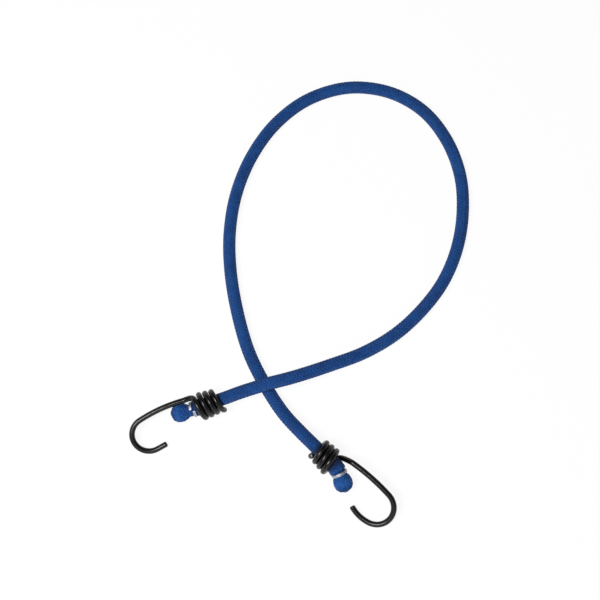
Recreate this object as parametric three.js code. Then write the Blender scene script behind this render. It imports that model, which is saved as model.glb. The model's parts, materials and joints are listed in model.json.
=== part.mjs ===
// A bungee cord lying in a loop: a braided sheath over a bundle of rubber threads, with a wire
// hook wound onto each end and a crimped clip behind each coil that keeps the hook on.
// Millimetres, +Z up. The cord lies on the plane z = 0, and the origin is on that plane,
// midway between the two hooks.

import * as THREE from 'three';

// Fits
const FIT = 0.3;
const SEAM = 0.3;

// Cord
const CORD_DIAMETER = 8;
const SHEATH_WALL = 0.8;
const CORD_SIDES = 12;
const CORD_STEP = 20;
const CROSSING_GAP = 0.5;
const LEAD_LENGTH = 16;

// Rubber threads, square in section, and how many lie in each row of the bundle
const THREAD_ROWS = [3, 5, 5, 5, 3];
const THREAD_GAP = 0.14;
const THREAD_CLEARANCE = 0.05;

// Cord ends: how much the end swells, how far the clip draws it in, and the bulb past the clip
const SWELL_RISE = 2.2;
const SWELL_LENGTH = 4;
const CLIP_SQUEEZE = 0.4;
const BULB_RISE = 3.4;
const BULB_TURNS = [-46, -23, 0, 30, 56];
const SHOULDER = 2.4;
const SWELL_FULLNESS = 0.8;
const TAIL_ELBOW = 0.35;
const TAIL_MIDDLE = 0.55;

// Clip: a flat band bent round until its ends almost meet
const CLIP_WIDTH = 1.8;
const CLIP_THICKNESS = 0.9;
const CLIP_OPENING = 1;
const CLIP_STEPS = 24;

// Hook wire and its conical coil, whose cut end stands off from the turns by CUT_SPREAD
const WIRE_DIAMETER = 3.3;
const WIRE_SIDES = 8;
const WIRE_STEP = 2.3;
const COIL_TURNS = 3.5;
const TURN_GAP = 0.5;
const MOUTH_FIT = 0.5;
const CUT_SPREAD = 0.7;
const CUT_TURNS = 0.2;
const LEAD_OUT_LENGTH = 7.5;
const COIL_PULL = 3;
const SHANK_PULL = 1.2;
const COIL_LIFT = 0.1;
const STRAIGHT_RUN = 5;
const GAP_POINTS = 200;

// The two ends. seat is the plan place of the coil's wide end and heading the way it points.
// tilt and roll lay the hook's bend down to the plane, and face says which side the shank is on.
// coilSlant leans the coil's turns, leadOut is how many degrees before the shank the coil ends, and
// the two bows are how far the shank and the tip leg curve.
// The bulb lies bulbReach past the coil, tucked this far under the shank or, below 0, away from it.
// dip is how far the cord sags away from the shank on its way from the coil to the bulb.
const END_A = {
  name: 'a', seat: [-39, 30.15], heading: 199, tilt: 2.1, roll: 22, face: -1, coilSlant: 0.13,
  leadOut: 32, flare: -0.5, lean: 3.4, shank: 28.75, shankBow: 18, bendRadius: 10.4, bendAngle: 175,
  tipLeg: 6.6, tipBow: 1, clipReach: 3, clipTurn: 85, bulbReach: 11.3, tuck: 2, dip: 0.7,
};
const END_B = {
  name: 'b', seat: [43.6, -4.7], heading: -44.3, tilt: 4.6, roll: 24.4, face: 1, coilSlant: -0.06,
  leadOut: 74, flare: 1.8, lean: 9.6, shank: 28.4, shankBow: 13, bendRadius: 10.9, bendAngle: 158,
  tipLeg: 13.9, tipBow: 37, clipReach: 6.2, clipTurn: 250, bulbReach: 11.2, tuck: -4.8, dip: 0,
};

// Colours
const BRAID_BLUE = 0x1c4a96;
const RUBBER_CREAM = 0xd9c8a0;
const COATED_BLACK = 0x141518;
const CLIP_SILVER = 0xc6cacd;

const CORD_RADIUS = CORD_DIAMETER / 2;
const WIRE_RADIUS = WIRE_DIAMETER / 2;
const SWELL_RADIUS = CORD_RADIUS + SWELL_RISE / 2;
const NECK_RADIUS = CORD_RADIUS - CLIP_SQUEEZE / 2;
const BULB_RADIUS = CORD_RADIUS + BULB_RISE / 2;
const CORD_CORNER = 1 / Math.cos(Math.PI / CORD_SIDES);
const COIL_PITCH = WIRE_DIAMETER + TURN_GAP;
const COIL_LENGTH = COIL_TURNS * COIL_PITCH;
const COIL_NARROW = CORD_RADIUS * CORD_CORNER + FIT + WIRE_RADIUS;
const COIL_WIDE = SWELL_RADIUS * CORD_CORNER + MOUTH_FIT + WIRE_RADIUS;

const LIE = CORD_RADIUS;
const OVER = LIE + CORD_DIAMETER + CROSSING_GAP;
const SEAT_HEIGHT = COIL_WIDE + WIRE_RADIUS + COIL_LIFT;

const { cos, sin, PI } = Math;
const radians = THREE.MathUtils.degToRad;
const mix = THREE.MathUtils.lerp;
const UP = new THREE.Vector3(0, 0, 1);
const vec = (x, y, z) => new THREE.Vector3(x, y, z);

// The cord's route in plan, with its height, from the left coil over the crossing, round the
// loop and under the crossing to the right coil.
const ROUTE = [
  [-12.4, 39.2, mix(SEAT_HEIGHT, OVER, 0.75)],
  [2.6, 43.8, OVER],
  [19.7, 48.4, OVER],
  [41.7, 56.5, mix(OVER, LIE, 0.5)],
  [63.7, 65.6, mix(OVER, LIE, 0.92)],
  [83.7, 77.7, LIE],
  [100.7, 93.4, LIE],
  [114.9, 112.2, LIE],
  [124.7, 134.7, LIE],
  [129.5, 159.7, LIE],
  [128.9, 185.7, LIE],
  [120.9, 211.1, LIE],
  [105.9, 232.4, LIE],
  [83.7, 246, LIE],
  [56.7, 249.5, LIE],
  [29.7, 241.1, LIE],
  [7.6, 223.3, LIE],
  [-8.5, 199.3, LIE],
  [-18.4, 172.5, LIE],
  [-22.2, 145.7, LIE],
  [-21.3, 120.2, LIE],
  [-16.3, 91.7, LIE],
  [-8.3, 65, LIE],
  [2.8, 43, LIE],
  [13.4, 26.6, mix(LIE, SEAT_HEIGHT, 0.55)],
  [24.1, 14.6, SEAT_HEIGHT],
].map((point) => vec(...point));

// Axes of an end: u along the coil and out past the hook, v to the shank's side.
function endFrame(end) {
  const heading = radians(end.heading);
  const tilt = radians(end.tilt);
  const roll = radians(end.roll);
  const level = vec(cos(heading), sin(heading), 0);
  const side = vec(-sin(heading), cos(heading), 0).multiplyScalar(end.face);
  const u = level.clone().multiplyScalar(cos(tilt)).addScaledVector(UP, -sin(tilt));
  const top = level.clone().multiplyScalar(sin(tilt)).addScaledVector(UP, cos(tilt));
  const v = side.clone().multiplyScalar(cos(roll)).addScaledVector(top, sin(roll));
  const origin = vec(end.seat[0], end.seat[1], SEAT_HEIGHT);
  return { origin, level, side, u, v, w: u.clone().cross(v) };
}

// A circular bend in the hook's plane, turning towards -v from a start point and direction.
class BendCurve extends THREE.Curve {
  constructor(start, direction, radius, angle) {
    super();
    this.direction = direction;
    this.radius = radius;
    this.angle = angle;
    this.outward = vec(-direction.y, direction.x, 0);
    this.centre = start.clone().addScaledVector(this.outward, -radius);
  }

  getPoint(t, target = new THREE.Vector3()) {
    const angle = t * this.angle;
    return target.copy(this.centre)
      .addScaledVector(this.outward, this.radius * cos(angle))
      .addScaledVector(this.direction, this.radius * sin(angle));
  }

  then(radius, angle) {
    const onward = this.direction.clone().multiplyScalar(cos(this.angle))
      .addScaledVector(this.outward, -sin(this.angle));
    return new BendCurve(this.getPoint(1), onward, radius, angle);
  }
}

// Where the shank begins in the hook's plane, which way it sets off, and its slight bow.
function shankCurve(end) {
  const lean = radians(end.lean);
  const bow = radians(end.shankBow);
  const start = vec(LEAD_OUT_LENGTH, COIL_WIDE + end.flare, 0);
  return new BendCurve(start, vec(cos(lean), sin(lean), 0), end.shank / bow, bow);
}

// How far to its side the shank is, level, at the stated reach past the coil.
function shankSide(end, reach) {
  const { centre, radius } = shankCurve(end);
  return (centre.y + Math.sqrt(radius ** 2 - (reach - centre.x) ** 2)) * cos(radians(end.roll));
}

// Points of the cord through the coil, from a straight run before its narrow end to the bulb's tip.
function endPoints(end) {
  const { origin, level, side, u } = endFrame(end);
  const clear = WIRE_RADIUS + BULB_RADIUS * CORD_CORNER;
  const drift = shankSide(end, end.bulbReach) - clear + end.tuck;
  const bulb = origin.clone().addScaledVector(level, end.bulbReach).addScaledVector(side, drift);
  bulb.z = BULB_RADIUS * CORD_CORNER;
  const elbow = origin.clone().addScaledVector(u, end.bulbReach * TAIL_ELBOW).addScaledVector(side, -end.dip);
  const tail = new THREE.QuadraticBezierCurve3(origin, elbow, bulb);
  const onward = tail.getTangent(1);
  onward.z = 0;
  return [
    origin.clone().addScaledVector(u, -COIL_LENGTH - STRAIGHT_RUN),
    origin.clone().addScaledVector(u, -COIL_LENGTH),
    origin.clone().addScaledVector(u, -COIL_LENGTH / 2),
    origin,
    tail.getPoint(TAIL_MIDDLE),
    bulb,
    bulb.clone().addScaledVector(onward.normalize(), BULB_RADIUS),
  ];
}

// The cord's centre line from tip to tip, and the length along it at each of its points.
const leftEnd = endPoints(END_A).reverse();
const rightEnd = endPoints(END_B);
const centreLine = new THREE.CatmullRomCurve3([...leftEnd, ...ROUTE, ...rightEnd]);
const SAMPLES_PER_POINT = 40;
const pointCount = centreLine.points.length;
centreLine.arcLengthDivisions = (pointCount - 1) * SAMPLES_PER_POINT;
const lengths = centreLine.getLengths();
const lengthAt = (index) => lengths[index * SAMPLES_PER_POINT];
const fullLength = lengths[lengths.length - 1];

// A place on the centre line with level and upright cross axes, so that flats lie flat.
function station(length) {
  const along = THREE.MathUtils.clamp(length / fullLength, 0, 1);
  const centre = centreLine.getPointAt(along);
  centre.z = Math.max(centre.z, LIE);
  const ahead = centreLine.getTangentAt(along);
  const side = UP.clone().cross(ahead).normalize();
  return { centre, ahead, side, top: ahead.clone().cross(side) };
}

function onSection({ centre, side, top }, x, y) {
  return centre.clone().addScaledVector(side, x).addScaledVector(top, y);
}

// One closed surface through rings of points. A ring of one point closes the surface there, and
// wrapped rings join the last to the first.
function skin(rings, wrapped) {
  const positions = [];
  const starts = rings.map((ring) => {
    const start = positions.length / 3;
    ring.forEach((point) => positions.push(point.x, point.y, point.z));
    return start;
  });
  const index = [];
  const pairs = wrapped ? rings.length : rings.length - 1;
  for (let i = 0; i < pairs; i += 1) {
    const j = (i + 1) % rings.length;
    const sides = Math.max(rings[i].length, rings[j].length);
    for (let k = 0; k < sides; k += 1) {
      const next = (k + 1) % sides;
      const a = starts[i] + (rings[i].length > 1 ? k : 0);
      const b = starts[i] + (rings[i].length > 1 ? next : 0);
      const c = starts[j] + (rings[j].length > 1 ? k : 0);
      const d = starts[j] + (rings[j].length > 1 ? next : 0);
      if (a !== b) index.push(a, b, c);
      if (c !== d) index.push(b, d, c);
    }
  }
  const geometry = new THREE.BufferGeometry();
  geometry.setAttribute('position', new THREE.Float32BufferAttribute(positions, 3));
  geometry.setIndex(index);
  return geometry;
}

// A round section of the cord with its flats at the stated radius.
function cordRing(length, radius) {
  const place = station(length);
  const corner = radius * CORD_CORNER;
  return Array.from({ length: CORD_SIDES }, (_, k) => {
    const angle = (2 * PI * (k + 0.5)) / CORD_SIDES;
    return onSection(place, corner * cos(angle), corner * sin(angle));
  });
}

// Lengths along the centre line where the sheath changes from one stretch to the next.
const bulbIndex = 1;
const coilWideIndex = 3;
const coilMiddleIndex = 4;
const coilNarrowIndex = 5;
const fromLeft = (index) => lengthAt(index);
const fromRight = (index) => lengthAt(pointCount - 1 - index);
const loopStart = fromLeft(coilNarrowIndex) + LEAD_LENGTH;
const loopEnd = fromRight(coilNarrowIndex) - LEAD_LENGTH;

function evenly(start, end, step) {
  const count = Math.max(1, Math.round((end - start) / step));
  return Array.from({ length: count + 1 }, (_, i) => mix(start, end, i / count));
}

const loopLengths = evenly(loopStart, loopEnd, CORD_STEP);
const leadLengths = {
  a: evenly(fromLeft(coilMiddleIndex) + SEAM, loopStart - SEAM, CORD_STEP / 2),
  b: evenly(loopEnd + SEAM, fromRight(coilMiddleIndex) - SEAM, CORD_STEP / 2),
};

// A plain stretch of sheath, open at both ends.
function sheathStretch(stops) {
  const outside = stops.map((length) => cordRing(length, CORD_RADIUS));
  const inside = stops.map((length) => cordRing(length, CORD_RADIUS - SHEATH_WALL));
  return skin([...outside, ...inside.reverse()], true);
}

// The sheath's end: it swells in the coil's mouth, is drawn in under the clip and bulbs past it.
function sheathEnd(end) {
  const outward = end === END_A ? -1 : 1;
  const from = end === END_A ? fromLeft : fromRight;
  const mouth = from(coilWideIndex);
  const bulb = Math.abs(from(bulbIndex) - mouth);
  const middle = -Math.abs(from(coilMiddleIndex) - mouth);
  const clipHalf = CLIP_WIDTH / 2 + FIT;
  const girth = [
    [middle, CORD_RADIUS],
    [-SWELL_LENGTH, CORD_RADIUS],
    [-SWELL_LENGTH / 4, mix(CORD_RADIUS, SWELL_RADIUS, SWELL_FULLNESS)],
    [end.clipReach - SHOULDER, SWELL_RADIUS],
    [end.clipReach - clipHalf, NECK_RADIUS],
    [end.clipReach + clipHalf, NECK_RADIUS],
  ];
  for (const turn of BULB_TURNS.map(radians)) {
    girth.push([bulb + BULB_RADIUS * sin(turn), BULB_RADIUS * cos(turn)]);
  }
  const ringsAt = (wall) => girth.map(([reach, radius]) => cordRing(mouth + outward * reach, radius - wall));
  const tip = station(mouth + outward * (bulb + BULB_RADIUS)).centre;
  const innerTip = station(mouth + outward * (bulb + BULB_RADIUS - SHEATH_WALL)).centre;
  const rings = [[tip], ...ringsAt(0).reverse(), ...ringsAt(SHEATH_WALL), [innerTip]];
  return skin(outward < 0 ? rings : rings.reverse(), false);
}

// Thread sections: a square grid of rows that just fits the bore where the clip draws it in.
const middleRow = (THREAD_ROWS.length - 1) / 2;
const cornerReach = (count, row) => Math.hypot(count / 2, Math.abs(row - middleRow) + 0.5);
const tightestBore = NECK_RADIUS - SHEATH_WALL - THREAD_CLEARANCE;
const threadPitch = tightestBore / Math.max(...THREAD_ROWS.map(cornerReach));
const threadWidth = threadPitch - THREAD_GAP;
const threadPlaces = THREAD_ROWS.flatMap((count, row) => {
  const y = (row - middleRow) * threadPitch;
  return Array.from({ length: count }, (_, k) => [(k - (count - 1) / 2) * threadPitch, y]);
});
const threadLengths = [
  fromLeft(bulbIndex),
  fromLeft(coilWideIndex) - END_A.clipReach,
  fromLeft(coilWideIndex),
  ...leadLengths.a,
  ...loopLengths,
  ...leadLengths.b,
  fromRight(coilWideIndex),
  fromRight(coilWideIndex) + END_B.clipReach,
  fromRight(bulbIndex),
];

// One rubber thread, running beside the centre line from bulb to bulb.
function thread([x, y]) {
  const half = threadWidth / 2;
  const corners = [[half, half], [-half, half], [-half, -half], [half, -half]];
  const rings = threadLengths.map((length) => {
    const place = station(length);
    return corners.map(([dx, dy]) => onSection(place, x + dx, y + dy));
  });
  const first = onSection(station(threadLengths[0]), x, y);
  const last = onSection(station(threadLengths[threadLengths.length - 1]), x, y);
  return skin([[first], ...rings, [last]], false);
}

// The coil's centre line in the end's own axes, from the cut end of the wire to the wide end.
class CoilCurve extends THREE.Curve {
  constructor({ coilSlant, leadOut }) {
    super();
    this.slant = coilSlant;
    this.turns = COIL_TURNS - leadOut / 360;
  }

  getPoint(t, target = new THREE.Vector3()) {
    const turns = t * this.turns;
    const angle = PI + 2 * PI * turns;
    const stray = CUT_SPREAD * Math.max(0, 1 - turns / CUT_TURNS) ** 2;
    const radius = mix(COIL_NARROW, COIL_WIDE, turns / COIL_TURNS) + stray;
    const x = (turns - COIL_TURNS) * COIL_PITCH - stray;
    const y = radius * cos(angle);
    return target.set(x + this.slant * y, y, radius * sin(angle));
  }
}

// The whole wire of a hook: coil, lead-out, shank, bend and tip leg.
function wirePath(end) {
  const coil = new CoilCurve(end);
  const coilEnd = coil.getPoint(1);
  const shank = shankCurve(end);
  const start = shank.getPoint(0);
  const leadOut = new THREE.CubicBezierCurve3(
    coilEnd,
    coilEnd.clone().addScaledVector(coil.getTangent(1), COIL_PULL),
    start.clone().addScaledVector(shank.direction, -SHANK_PULL),
    start,
  );
  const bend = shank.then(end.bendRadius, radians(end.bendAngle));
  const tipBow = radians(end.tipBow);
  const path = new THREE.CurvePath();
  path.add(coil);
  path.add(leadOut);
  path.add(shank);
  path.add(bend);
  path.add(bend.then(end.tipLeg / tipBow, tipBow));
  return path;
}

// The least clear gap between two turns of the coil, measured on points of its centre line.
function leastTurnGap(end) {
  const points = new CoilCurve(end).getSpacedPoints(GAP_POINTS);
  const halfTurn = Math.round(GAP_POINTS / (2 * COIL_TURNS));
  let least = Infinity;
  for (let i = 0; i < points.length; i += 1) {
    for (let j = i + halfTurn; j < points.length; j += 1) {
      least = Math.min(least, points[i].distanceTo(points[j]));
    }
  }
  return least - WIRE_DIAMETER;
}

function polygon(radius, sides) {
  const corners = Array.from({ length: sides }, (_, k) => {
    const angle = (2 * PI * k) / sides;
    return new THREE.Vector2(radius * cos(angle), radius * sin(angle));
  });
  return new THREE.Shape(corners);
}

function hookWire(end) {
  const path = wirePath(end);
  return new THREE.ExtrudeGeometry(polygon(WIRE_RADIUS, WIRE_SIDES), {
    extrudePath: path,
    steps: Math.round(path.getLength() / WIRE_STEP),
    bevelEnabled: false,
  });
}

// The clip: a flat band along an open circle round the z axis, with its opening at the stated turn.
function clipBand(turn) {
  const inner = (NECK_RADIUS * CORD_CORNER + FIT / 2) / cos(PI / CLIP_STEPS);
  const radius = inner + CLIP_THICKNESS / 2;
  const halfOpening = CLIP_OPENING / (2 * radius);
  const circle = new THREE.CatmullRomCurve3(Array.from({ length: CLIP_STEPS + 1 }, (_, k) => {
    const angle = radians(turn) + mix(halfOpening, 2 * PI - halfOpening, k / CLIP_STEPS);
    return vec(radius * cos(angle), radius * sin(angle), 0);
  }));
  const w = CLIP_WIDTH / 2;
  const t = CLIP_THICKNESS / 2;
  const corners = [[-w, -t], [w, -t], [w, t], [-w, t]].map(([x, y]) => new THREE.Vector2(x, y));
  return new THREE.ExtrudeGeometry(new THREE.Shape(corners), {
    extrudePath: circle,
    steps: CLIP_STEPS,
    bevelEnabled: false,
  });
}

const braid = () => new THREE.MeshStandardMaterial({ color: BRAID_BLUE, roughness: 0.75, metalness: 0 });
const rubber = () => new THREE.MeshStandardMaterial({ color: RUBBER_CREAM, roughness: 0.6, metalness: 0 });
const coating = () => new THREE.MeshStandardMaterial({ color: COATED_BLACK, roughness: 0.3, metalness: 0.1 });
const zinc = () => new THREE.MeshStandardMaterial({ color: CLIP_SILVER, roughness: 0.35, metalness: 0.9 });

const bungee = new THREE.Group();

function add(name, geometry, material) {
  const mesh = new THREE.Mesh(geometry, material);
  mesh.name = name;
  bungee.add(mesh);
  return mesh;
}

add('sheath_loop', sheathStretch(loopLengths), braid());
threadPlaces.forEach((place, i) => {
  add(`rubber_thread_${String(i + 1).padStart(2, '0')}`, thread(place), rubber());
});

for (const end of [END_A, END_B]) {
  add(`sheath_lead_${end.name}`, sheathStretch(leadLengths[end.name]), braid());
  add(`sheath_end_${end.name}`, sheathEnd(end), braid());

  const { origin, u, v, w } = endFrame(end);
  const hook = add(`hook_${end.name}`, hookWire(end), coating());
  hook.position.copy(origin);
  hook.quaternion.setFromRotationMatrix(new THREE.Matrix4().makeBasis(u, v, w));

  const reach = end === END_A ? fromLeft(coilWideIndex) - end.clipReach
    : fromRight(coilWideIndex) + end.clipReach;
  const { centre, ahead, side, top } = station(reach);
  const clip = add(`clip_${end.name}`, clipBand(end.clipTurn), zinc());
  clip.position.copy(centre);
  clip.quaternion.setFromRotationMatrix(new THREE.Matrix4().makeBasis(side, top, ahead));
}

console.log(`cord from tip to tip ${fullLength.toFixed(0)} mm`);
const turnGaps = [END_A, END_B].map((end) => leastTurnGap(end).toFixed(2));
console.log(`hook coils: least gap between turns ${turnGaps.join(' and ')} mm`);

export default bungee;
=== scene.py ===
# %% [markdown]
# # A bungee cord with wound wire hooks
#
# A bungee cord is a bundle of rubber threads inside a braided sheath. A wire hook is wound onto
# each end, and a metal clip behind the coil draws the sheath in, so that the end swells into a bulb
# and the hook can't slip off. The measured solids of every piece come in as a fixed frame. This
# lesson puts the real surfaces on them: yarn that is truly braided, dipped wire, bright metal.

import json
import math

import bpy
import numpy as np
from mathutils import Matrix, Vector


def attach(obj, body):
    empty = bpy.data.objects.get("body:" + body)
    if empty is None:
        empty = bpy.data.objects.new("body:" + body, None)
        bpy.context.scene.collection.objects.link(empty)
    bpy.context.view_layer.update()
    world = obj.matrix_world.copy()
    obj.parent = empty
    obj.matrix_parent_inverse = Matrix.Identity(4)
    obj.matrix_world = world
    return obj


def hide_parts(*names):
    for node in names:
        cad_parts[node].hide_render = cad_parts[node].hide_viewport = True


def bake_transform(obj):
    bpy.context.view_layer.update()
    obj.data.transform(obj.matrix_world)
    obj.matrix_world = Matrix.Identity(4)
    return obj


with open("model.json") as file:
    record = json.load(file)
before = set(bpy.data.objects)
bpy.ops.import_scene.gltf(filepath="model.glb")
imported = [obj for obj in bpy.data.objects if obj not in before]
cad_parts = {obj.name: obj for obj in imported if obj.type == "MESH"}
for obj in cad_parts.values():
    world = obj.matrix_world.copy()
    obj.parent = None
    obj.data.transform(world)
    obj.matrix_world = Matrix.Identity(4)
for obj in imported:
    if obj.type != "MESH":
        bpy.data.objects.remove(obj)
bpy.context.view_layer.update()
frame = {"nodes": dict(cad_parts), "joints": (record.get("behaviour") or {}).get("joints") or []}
print("solids in the frame:", len(frame["nodes"]))

# %% [markdown]
# ## Formulas as nodes
#
# Both Geometry Nodes and shaders are built here from formulas. A small class wraps one socket of a
# node tree and overloads the signs of arithmetic, so `1 - mask` adds a Math node by itself. Numbers
# go through Math, vectors through Vector Math, and every other node comes from one method.

# %% One class for node formulas


def find(sockets, key):
    """A socket by its number, its identifier or its name."""
    if isinstance(key, int):
        return sockets[key]
    for field in ("identifier", "name"):
        for socket in sockets:
            if getattr(socket, field) == key:
                return socket
    raise KeyError(key)


class Flow:
    """A socket of a node tree that can be used in a formula."""

    def __init__(self, tree, socket=None):
        self.tree = tree
        self.socket = socket

    def node(self, kind, inputs=None, out=0, **settings):
        """A new node: its settings first, then what its sockets hold or are linked to."""
        made = self.tree.nodes.new(kind)
        for name, value in settings.items():
            setattr(made, name, value)
        for key, value in (inputs or {}).items():
            for each in value if isinstance(value, list) else [value]:
                self.plug(find(made.inputs, key), each)
        return Flow(self.tree, find(made.outputs, out) if made.outputs else None)

    def plug(self, socket, value):
        if isinstance(value, Flow):
            self.tree.links.new(value.socket, socket)
        else:
            socket.default_value = value

    def also(self, out):
        """Another output of the same node."""
        return Flow(self.tree, find(self.socket.node.outputs, out))

    def sum_of(self, operation, left, right):
        kinds = [side.socket.type if isinstance(side, Flow) else "VALUE" for side in (left, right)]
        vectors = [kind in ("VECTOR", "RGBA") for kind in kinds]
        if not any(vectors):
            return self.node("ShaderNodeMath", {0: left, 1: right}, operation=operation)
        if operation == "MULTIPLY" and not all(vectors):
            vector, number = (left, right) if vectors[0] else (right, left)
            return self.node("ShaderNodeVectorMath", {0: vector, "Scale": number}, operation="SCALE")
        return self.node("ShaderNodeVectorMath", {0: left, 1: right}, operation=operation)

    def __add__(self, other):
        return self.sum_of("ADD", self, other)

    def __radd__(self, other):
        return self.sum_of("ADD", other, self)

    def __sub__(self, other):
        return self.sum_of("SUBTRACT", self, other)

    def __rsub__(self, other):
        return self.sum_of("SUBTRACT", other, self)

    def __mul__(self, other):
        return self.sum_of("MULTIPLY", self, other)

    def __rmul__(self, other):
        return self.sum_of("MULTIPLY", other, self)

    def __truediv__(self, other):
        return self.sum_of("DIVIDE", self, other)

    def __mod__(self, other):
        return self.sum_of("MODULO", self, other)

    def math(self, operation):
        """A Math node with one value in, such as a sine."""
        return self.node("ShaderNodeMath", {0: self}, operation=operation)

    def held(self, low, high):
        """The value, kept between two limits."""
        return self.node("ShaderNodeClamp", {"Value": self, "Min": low, "Max": high})


print("formula signs ready: + - * / %")

# %% [markdown]
# ## Trees that grow pieces
#
# A yarn that winds round a cord repeats one rule along a path, which is what Geometry Nodes are
# for. Each tree takes a path, a mesh of points and edges that carries its own thickness and cross
# axes as attributes, and turns it into a surface. The result is then kept as a plain mesh.

# %% Helpers for geometry trees

SIDE_CORNERS = 4


def new_tree(name, sizes):
    """A geometry tree with one named input per size: its flow, its inputs and the path as a curve."""
    tree = bpy.data.node_groups.new(name, "GeometryNodeTree")
    tree.interface.new_socket("Geometry", in_out="INPUT", socket_type="NodeSocketGeometry")
    tree.interface.new_socket("Geometry", in_out="OUTPUT", socket_type="NodeSocketGeometry")
    for label, kind in sizes:
        tree.interface.new_socket(label, in_out="INPUT", socket_type="NodeSocket" + kind)
    group_in = tree.nodes.new("NodeGroupInput")
    named = {socket.name: Flow(tree, socket) for socket in group_in.outputs}
    flow = Flow(tree)
    return flow, named, flow.node("GeometryNodeMeshToCurve", {"Mesh": named["Geometry"]})


def end_tree(flow, geometry):
    flow.node("NodeGroupOutput", {"Geometry": geometry})
    return flow.tree


def attribute(flow, name, kind="FLOAT"):
    return flow.node("GeometryNodeInputNamedAttribute", {"Name": name}, data_type=kind)


def stored(flow, geometry, name, value, **settings):
    """The geometry with one more attribute."""
    inputs = {"Geometry": geometry, "Name": name, "Value": value}
    return flow.node("GeometryNodeStoreNamedAttribute", inputs, **settings)


def copied(flow, path, amount):
    """Copies of a path, one on another, each with its own index."""
    inputs = {"Geometry": path, "Amount": amount}
    return flow.node("GeometryNodeDuplicateElements", inputs, domain="SPLINE")


def ring(flow, sides, radius):
    return flow.node("GeometryNodeCurvePrimitiveCircle", {"Resolution": sides, "Radius": radius})


def swept(flow, curve, profile, **more):
    """A closed surface: the profile carried along the curve."""
    inputs = {"Curve": curve, "Profile Curve": profile, "Fill Caps": True, **more}
    return flow.node("GeometryNodeCurveToMesh", inputs)


def dressed(flow, geometry, material):
    """The geometry as real faces, in one material."""
    real = flow.node("GeometryNodeRealizeInstances", {"Geometry": geometry})
    return flow.node("GeometryNodeSetMaterial", {"Geometry": real, "Material": material})


def smooth_sides(flow, mesh):
    """Smooth shading on the sides of tubes, and flat caps, which have more than four corners."""
    corners = flow.node("GeometryNodeInputMeshFaceNeighbors", {}, "Vertex Count")
    counts = {2: corners, 3: SIDE_CORNERS}
    side = flow.node("FunctionNodeCompare", counts, data_type="INT", operation="LESS_EQUAL")
    capped = flow.node("GeometryNodeSetShadeSmooth", {"Geometry": mesh, "Shade Smooth": False})
    return flow.node("GeometryNodeSetShadeSmooth", {"Geometry": capped, "Selection": side})


def link(piece):
    bpy.context.scene.collection.objects.link(piece)
    return piece


def path_mesh(name, points, **fields):
    """A chain of edges through the points, with one attribute per field."""
    mesh = bpy.data.meshes.new(name)
    edges = [(i, i + 1) for i in range(len(points) - 1)]
    mesh.from_pydata([tuple(point) for point in points], edges, [])
    for field, values in fields.items():
        values = np.asarray(values, np.float32)
        kind, key = ("FLOAT_VECTOR", "vector") if values.ndim == 2 else ("FLOAT", "value")
        mesh.attributes.new(field, kind, "POINT").data.foreach_set(key, values.ravel())
    return mesh


def plain_mesh(piece):
    """What the piece's modifiers make of it, as a mesh of its own."""
    graph = bpy.context.evaluated_depsgraph_get()
    return bpy.data.meshes.new_from_object(piece.evaluated_get(graph), depsgraph=graph)


def grow(name, tree, path, values):
    """Runs a tree on a path and keeps the result as a plain mesh."""
    seed = link(bpy.data.objects.new(name + "_path", path))
    modifier = seed.modifiers.new(tree.name, "NODES")
    modifier.node_group = tree
    for item in tree.interface.items_tree:
        if item.name in values:
            modifier[item.identifier] = values[item.name]
    mesh = plain_mesh(seed)
    bpy.data.objects.remove(seed)
    mesh.name = name
    piece = link(bpy.data.objects.new(name, mesh))
    print(f"{name}: {sum(len(face.vertices) - 2 for face in mesh.polygons)} triangles")
    return piece


# %% [markdown]
# ## The view
#
# The cord lies on a table and is seen from well above its near side. The perspective is slight but
# real: the cord's near end looks a little thicker than the far side of the loop. A camera with the
# same distance and lens gives the same change.

# %% Camera

LOOK_AT = Vector((0.02333, 0.10103, 0))
VIEW_DISTANCE = 0.632
VIEW_ELEVATION = math.radians(74)
SENSOR_WIDTH = 36
LENS = 59.25

camera_data = bpy.data.cameras.new("camera")
camera_data.sensor_width = SENSOR_WIDTH
camera_data.lens = LENS
camera = link(bpy.data.objects.new("camera", camera_data))
sight = Vector((0, math.cos(VIEW_ELEVATION), -math.sin(VIEW_ELEVATION)))
camera.location = LOOK_AT - sight * VIEW_DISTANCE
camera.rotation_euler = sight.to_track_quat("-Z", "Y").to_euler()
bpy.context.scene.camera = camera
print("camera at", [round(value, 4) for value in camera.location])

# %% [markdown]
# ## The line of the cord
#
# Everything soft follows one centre line. It is given by points listed along the cord, with
# the run through each coil worked out from the hook's place. A cord is springy, so a smooth curve
# through the points lies as the cord does: flat on the table, with one long low hump where the left
# end crosses over the right one.

# %% Sizes of the cord and its two ends

MM = 1000
CORD_RADIUS = 0.004
SWELL_RADIUS = 0.0051
NECK_RADIUS = 0.0038
BULB_RADIUS = 0.0057
SHEATH_WALL = 0.0008
CORD_SIDES = 12
CORD_CORNER = 1 / math.cos(math.pi / CORD_SIDES)
FIT = 0.0003
WIRE_RADIUS = 0.00165
TURN_GAP = 0.0005
MOUTH_FIT = 0.0005
CUT_SPREAD = 0.0007
CUT_TURNS = 0.2
COIL_TURNS = 3.5
COIL_PITCH = 2 * WIRE_RADIUS + TURN_GAP
COIL_LENGTH = COIL_TURNS * COIL_PITCH
COIL_NARROW = CORD_RADIUS * CORD_CORNER + FIT + WIRE_RADIUS
COIL_WIDE = SWELL_RADIUS * CORD_CORNER + MOUTH_FIT + WIRE_RADIUS
COIL_LIFT = 0.0001
LEAD_OUT_LENGTH = 0.0075
STRAIGHT_RUN = 0.005
TAIL_ELBOW = 0.35
TAIL_MIDDLE = 0.55

LIE = CORD_RADIUS
OVER = 0.0125
SEAT = COIL_WIDE + WIRE_RADIUS + COIL_LIFT

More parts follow.
